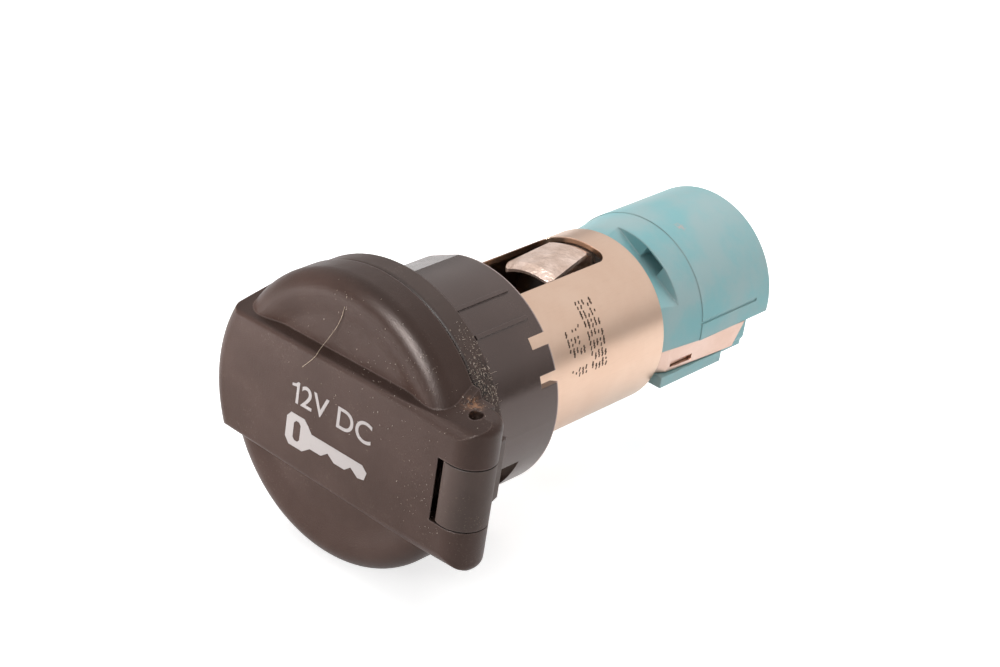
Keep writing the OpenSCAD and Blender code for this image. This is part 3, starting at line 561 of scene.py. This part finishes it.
# host, specks per square metre, seed, size in mm, how many times longer, centre and reach in mm, and the
# y in mm behind which no speck lies
dustSpots = {
    "bandDust": ("cap", 450000.0, 3, 0.055, 1.0, (13.5, -9.5, 6.0), 10.0, -7.2),
    "foldDust": ("cap", 420000.0, 5, 0.06, 1.0, (2.0, -8.8, 9.0), 13.0, -7.2),
    # the pale specks on the rim are dust and also painted glints of the rim's grain
    "rimDust": ("cap", 900000.0, 8, 0.045, 1.0, (10.5, -8.3, 13.6), 6.5, -7.2),
    "heapDust": ("flange", 9000000.0, 11, 0.07, 1.0, (13.6, -1.7, 11.4), 7.0, 5.0),
    "neckDust": ("flange", 9000000.0, 13, 0.09, 1.0, (15.4, -1.9, 9.8), 3.6, 5.0),
    "heapHairs": ("flange", 3000000.0, 23, 0.035, 10.0, (15.0, -1.9, 10.4), 4.2, 5.0),
    "knuckleDust": ("cap", 3500000.0, 17, 0.07, 1.0, (16.6, -5.6, 9.7), 3.0, -2.0),
    "slotDust": ("cap", 1500000.0, 19, 0.05, 1.0, (15.8, -9.0, -2.0), 6.0, -2.0),
}


def scatterDust():
    tree = dustGroup()
    for name, (host, density, seed, size, length, centre, reach, rear) in dustSpots.items():
        node, body, slot = dustHosts[host]
        mesh = grownMesh(name, tree, {
            "Source": nodes[node], "Density": density, "Seed": seed, "Size": size * mm, "Length": length,
            "Centre": [c * mm for c in centre], "Reach": reach * mm, "Rear": rear * mm,
            "Material": dustFinish,
        })
        meshPiece(name, mesh, dustFinish, body)
        print(name, len(mesh.polygons), "faces")


scatterDust()


# jet-printed marks on the tube: rows of short slanted dashes, wrapped on the metal
# left bare are each fourth column, one row, two stretches of the front rows, and dashes here and there
dashes = {
    "size": (0.40 * mm, 0.24 * mm, 0.02 * mm), "slant": ((0, 0, 0.25), (0, 0, 0.6)),
    "stretch": ((0.7, 0.8, 1), (1.5, 1.1, 1)), "group": 4, "groupEnd": 2.5, "bareRow": 5, "tolerance": 0.1,
    "frontRows": 4.5, "bareColumns": (3.5, 7.5), "lastColumn": 19.5, "kept": 0.62,
}


def bareDashes(tree, given):
    index = tree.nodes.new("GeometryNodeInputIndex").outputs[0]
    column = maths(tree, "FLOOR", maths(tree, "DIVIDE", index, given["Rows"]))
    row = maths(tree, "MODULO", index, given["Rows"])
    inGroup = maths(tree, "MODULO", column, dashes["group"])
    front = maths(tree, "LESS_THAN", row, dashes["frontRows"])
    start, end = dashes["bareColumns"]
    middle = times(tree, maths(tree, "GREATER_THAN", column, start), maths(tree, "LESS_THAN", column, end))
    last = maths(tree, "GREATER_THAN", column, dashes["lastColumn"])
    chance = randomValue(tree, "FLOAT", (0.0, 1.0), given["Seed"])
    bare = times(tree, front, maths(tree, "MAXIMUM", last, middle))
    for other in (
        maths(tree, "GREATER_THAN", inGroup, dashes["groupEnd"]),
        maths(tree, "COMPARE", row, dashes["bareRow"], dashes["tolerance"]),
        maths(tree, "GREATER_THAN", chance, dashes["kept"]),
    ):
        bare = maths(tree, "MAXIMUM", bare, other)
    return bare


def printGroup():
    inputs = {
        "Columns": "Int", "Rows": "Int", "Pitch": "Float", "Line": "Float", "Seed": "Int", "Radius": "Float",
        "Start": "Float", "Front": "Float", "Material": "Material",
    }
    tree, given, made = growGroup("jetPrint", inputs)
    grid = step(tree, "MeshGrid", {
        "Size X": times(tree, given["Columns"], given["Pitch"]), "Vertices X": given["Columns"],
        "Size Y": times(tree, given["Rows"], given["Line"]), "Vertices Y": given["Rows"],
    })
    bare = bareDashes(tree, given)
    kept = step(tree, "DeleteGeometry", {"Geometry": grid, "Selection": bare}, domain="POINT")
    marks = step(tree, "InstanceOnPoints", {
        "Points": kept, "Instance": step(tree, "MeshCube", {"Size": dashes["size"]}),
        "Rotation": randomValue(tree, "FLOAT_VECTOR", dashes["slant"], given["Seed"]),
        "Scale": randomValue(tree, "FLOAT_VECTOR", dashes["stretch"], given["Seed"]),
    })
    axes = splitAxes(tree, tree.nodes.new("GeometryNodeInputPosition").outputs[0])
    angle = maths(tree, "ADD", given["Start"], maths(tree, "DIVIDE", axes["X"], given["Radius"]))
    out = maths(tree, "ADD", given["Radius"], axes["Z"])
    across = times(tree, out, maths(tree, "COSINE", angle))
    along = maths(tree, "ADD", given["Front"], axes["Y"])
    upward = times(tree, out, maths(tree, "SINE", angle))
    closeGroup(tree, marks, given["Material"], made, joinAxes(tree, across, along, upward))
    return tree


inkFinish = mouldedPlastic("inkFinish", {
    "colour": (0.060, 0.030, 0.018), "second": (0.10, 0.055, 0.035), "worn": (0.15, 0.10, 0.07),
    "dirt": (0.3, 0.2, 0.14), "patch": 0.8 * mm, "edge": 0.02 * mm, "wear": 0.1, "speck": 0.2,
    "deep": (0.05, 0.03, 0.02), "shade": 0.1,
    "rough": 0.55, "roughSpread": 0.1, "grain": 0.1 * mm, "grainDeep": 0.002 * mm, "gloss": 0.3,
})
tubePrint = {
    "Columns": 27, "Rows": 11, "Pitch": 0.31 * mm, "Line": 0.57 * mm, "Seed": 21, "Radius": 11.3 * mm,
    "Start": math.radians(31), "Front": 23.6 * mm, "Material": inkFinish,
}
printMesh = grownMesh("tubePrint", printGroup(), tubePrint)
meshPiece("tubePrint", printMesh, inkFinish, "socket")
print("print", len(printMesh.polygons), "faces")


# a loose fibre that lies over the cap, along stops in mm
def looseFibre():
    fibre = {
        "radius": 0.028 * mm, "roundness": 2, "order": 3, "steps": 6,
        "stops": [
            (-0.6, -8.7, 16.4), (-0.7, -8.7, 15.1), (-1.3, -8.4, 13.1), (-1.9, -8.4, 11.6),
            (-2.5, -8.7, 10.2), (-2.9, -9.5, 8.9), (-3.1, -9.9, 7.9), (-3.8, -9.85, 7.0), (-5.0, -9.82, 5.6),
        ],
    }
    curve = bpy.data.curves.new("looseFibre", "CURVE")
    curve.dimensions = "3D"
    curve.bevel_depth = fibre["radius"]
    curve.bevel_resolution = fibre["roundness"]
    curve.use_fill_caps = True
    spline = curve.splines.new("NURBS")
    spline.points.add(len(fibre["stops"]) - 1)
    for point, (x, y, z) in zip(spline.points, fibre["stops"]):
        point.co = (x * mm, y * mm, z * mm, 1)
    spline.use_endpoint_u = True
    spline.order_u = fibre["order"]
    spline.resolution_u = fibre["steps"]
    finish = mouldedPlastic("fibreFinish", {
        "colour": (0.62, 0.50, 0.38), "second": (0.5, 0.38, 0.28), "worn": (0.7, 0.6, 0.5),
        "dirt": (0.3, 0.2, 0.15), "patch": 1 * mm, "edge": 0.01 * mm, "wear": 0.1, "speck": 0.1,
        "deep": (0.3, 0.2, 0.15), "shade": 0.1,
        "rough": 0.6, "roughSpread": 0.1, "grain": 0.1 * mm, "grainDeep": 0.002 * mm, "gloss": 0.3,
    })
    meshPiece("looseFibre", finished(linked("looseFibreCurve", curve)), finish, "cap")


looseFibre()
print("fibre ready")


# pale floor and room: white where the camera looks, dimmer where they light the socket or show in its gloss
room = {
    "floor": 3.0, "gap": 0.3 * mm, "pale": 0.8, "rough": 0.9, "plain": 0.40, "glow": 0.66, "shine": 0.42,
    "horizon": 0.26, "sky": 0.88, "rise": 0.42, "white": (1, 1, 1),
}


def paleFloor():
    half = room["floor"] / 2
    z = cadLow.z - room["gap"]
    paintedCornerShade = [(x * half, y * half, z) for x, y in ((-1, -1), (1, -1), (1, 1), (-1, 1))]
    mesh = bpy.data.meshes.new("paleFloor")
    mesh.from_pydata(paintedCornerShade, [], [(0, 1, 2, 3)])
    floor = linked("paleFloor", mesh)
    material, tree, shader = newMaterial("paleFloor")
    feed(tree, shader.inputs["Base Color"], (room["pale"],) * 3)
    feed(tree, shader.inputs["Roughness"], room["rough"])
    feed(tree, shader.inputs["Specular IOR Level"], 0)
    path = tree.nodes.new("ShaderNodeLightPath").outputs
    seen = times(tree, path["Is Camera Ray"], room["glow"])
    mirrored = times(tree, path["Is Glossy Ray"], room["shine"])
    feed(tree, shader.inputs["Emission Color"], room["white"])
    feed(tree, shader.inputs["Emission Strength"], maths(tree, "ADD", seen, mirrored))
    mesh.materials.append(material)


def paleRoom():
    world = bpy.data.worlds.new("paleRoom")
    world.use_nodes = True
    bpy.context.scene.world = world
    tree = world.node_tree
    path = tree.nodes.new("ShaderNodeLightPath").outputs
    upward = splitAxes(tree, tree.nodes.new("ShaderNodeTexCoord").outputs["Generated"])["Z"]
    rise = ramp(tree, upward, (0.0, room["rise"]))
    mirrored = maths(tree, "MULTIPLY_ADD", rise, room["sky"] - room["horizon"], room["horizon"])
    plain = times(tree, maths(tree, "SUBTRACT", 1, path["Is Glossy Ray"]), room["plain"])
    lit = maths(tree, "ADD", plain, times(tree, mirrored, path["Is Glossy Ray"]))
    seen = maths(tree, "MAXIMUM", path["Is Camera Ray"], path["Is Transmission Ray"])
    background = tree.nodes["Background"].inputs
    feed(tree, background["Color"], room["white"])
    feed(tree, background["Strength"], maths(tree, "MAXIMUM", lit, seen))


def lamp(name, place, aim, size, power, lights):
    data = bpy.data.lights.new(name, "AREA")
    data.shape = "RECTANGLE"
    data.size, data.size_y = size
    data.energy = power
    light = linked(name, data)
    light.location = place
    light.rotation_mode = "QUATERNION"
    light.rotation_quaternion = (Vector(aim) - light.location).to_track_quat("-Z", "Y")
    light.visible_camera = False
    light.visible_glossy = lights != "matt"
    light.visible_diffuse = lights != "shine"


# place, aim, size, power in watts, and whether it lights matt surfaces or only gives a shine
# a large soft one above and behind, weak ones low at the left and right, one over the floor before the cap,
# and one in front for the glint on the cap's rim
lamps = {
    "topLamp": ((-0.20, 0.24, 0.54), (0, 0.02, 0), (0.8, 0.8), 3.8, "matt"),
    "leftLamp": ((-0.075, -0.085, -0.006), (0, -0.005, 0), (0.05, 0.015), 0.12, "matt"),
    "bounceLamp": ((-0.10, -0.15, 0.035), (-0.10, -0.15, -0.02), (0.22, 0.14), 0.12, "matt"),
    "rightLamp": ((0.50, 0.30, 0.10), (0, 0.04, 0), (0.3, 0.3), 0.55, "matt"),
    "rimLamp": ((0.055, -0.41, 0.29), (0, 0, 0.01), (0.08, 0.24), 6.6, "shine"),
}

paleFloor()
paleRoom()
bpy.context.scene.view_settings.view_transform = "Standard"
for name, settings in lamps.items():
    lamp(name, *settings)
print("studio ready")
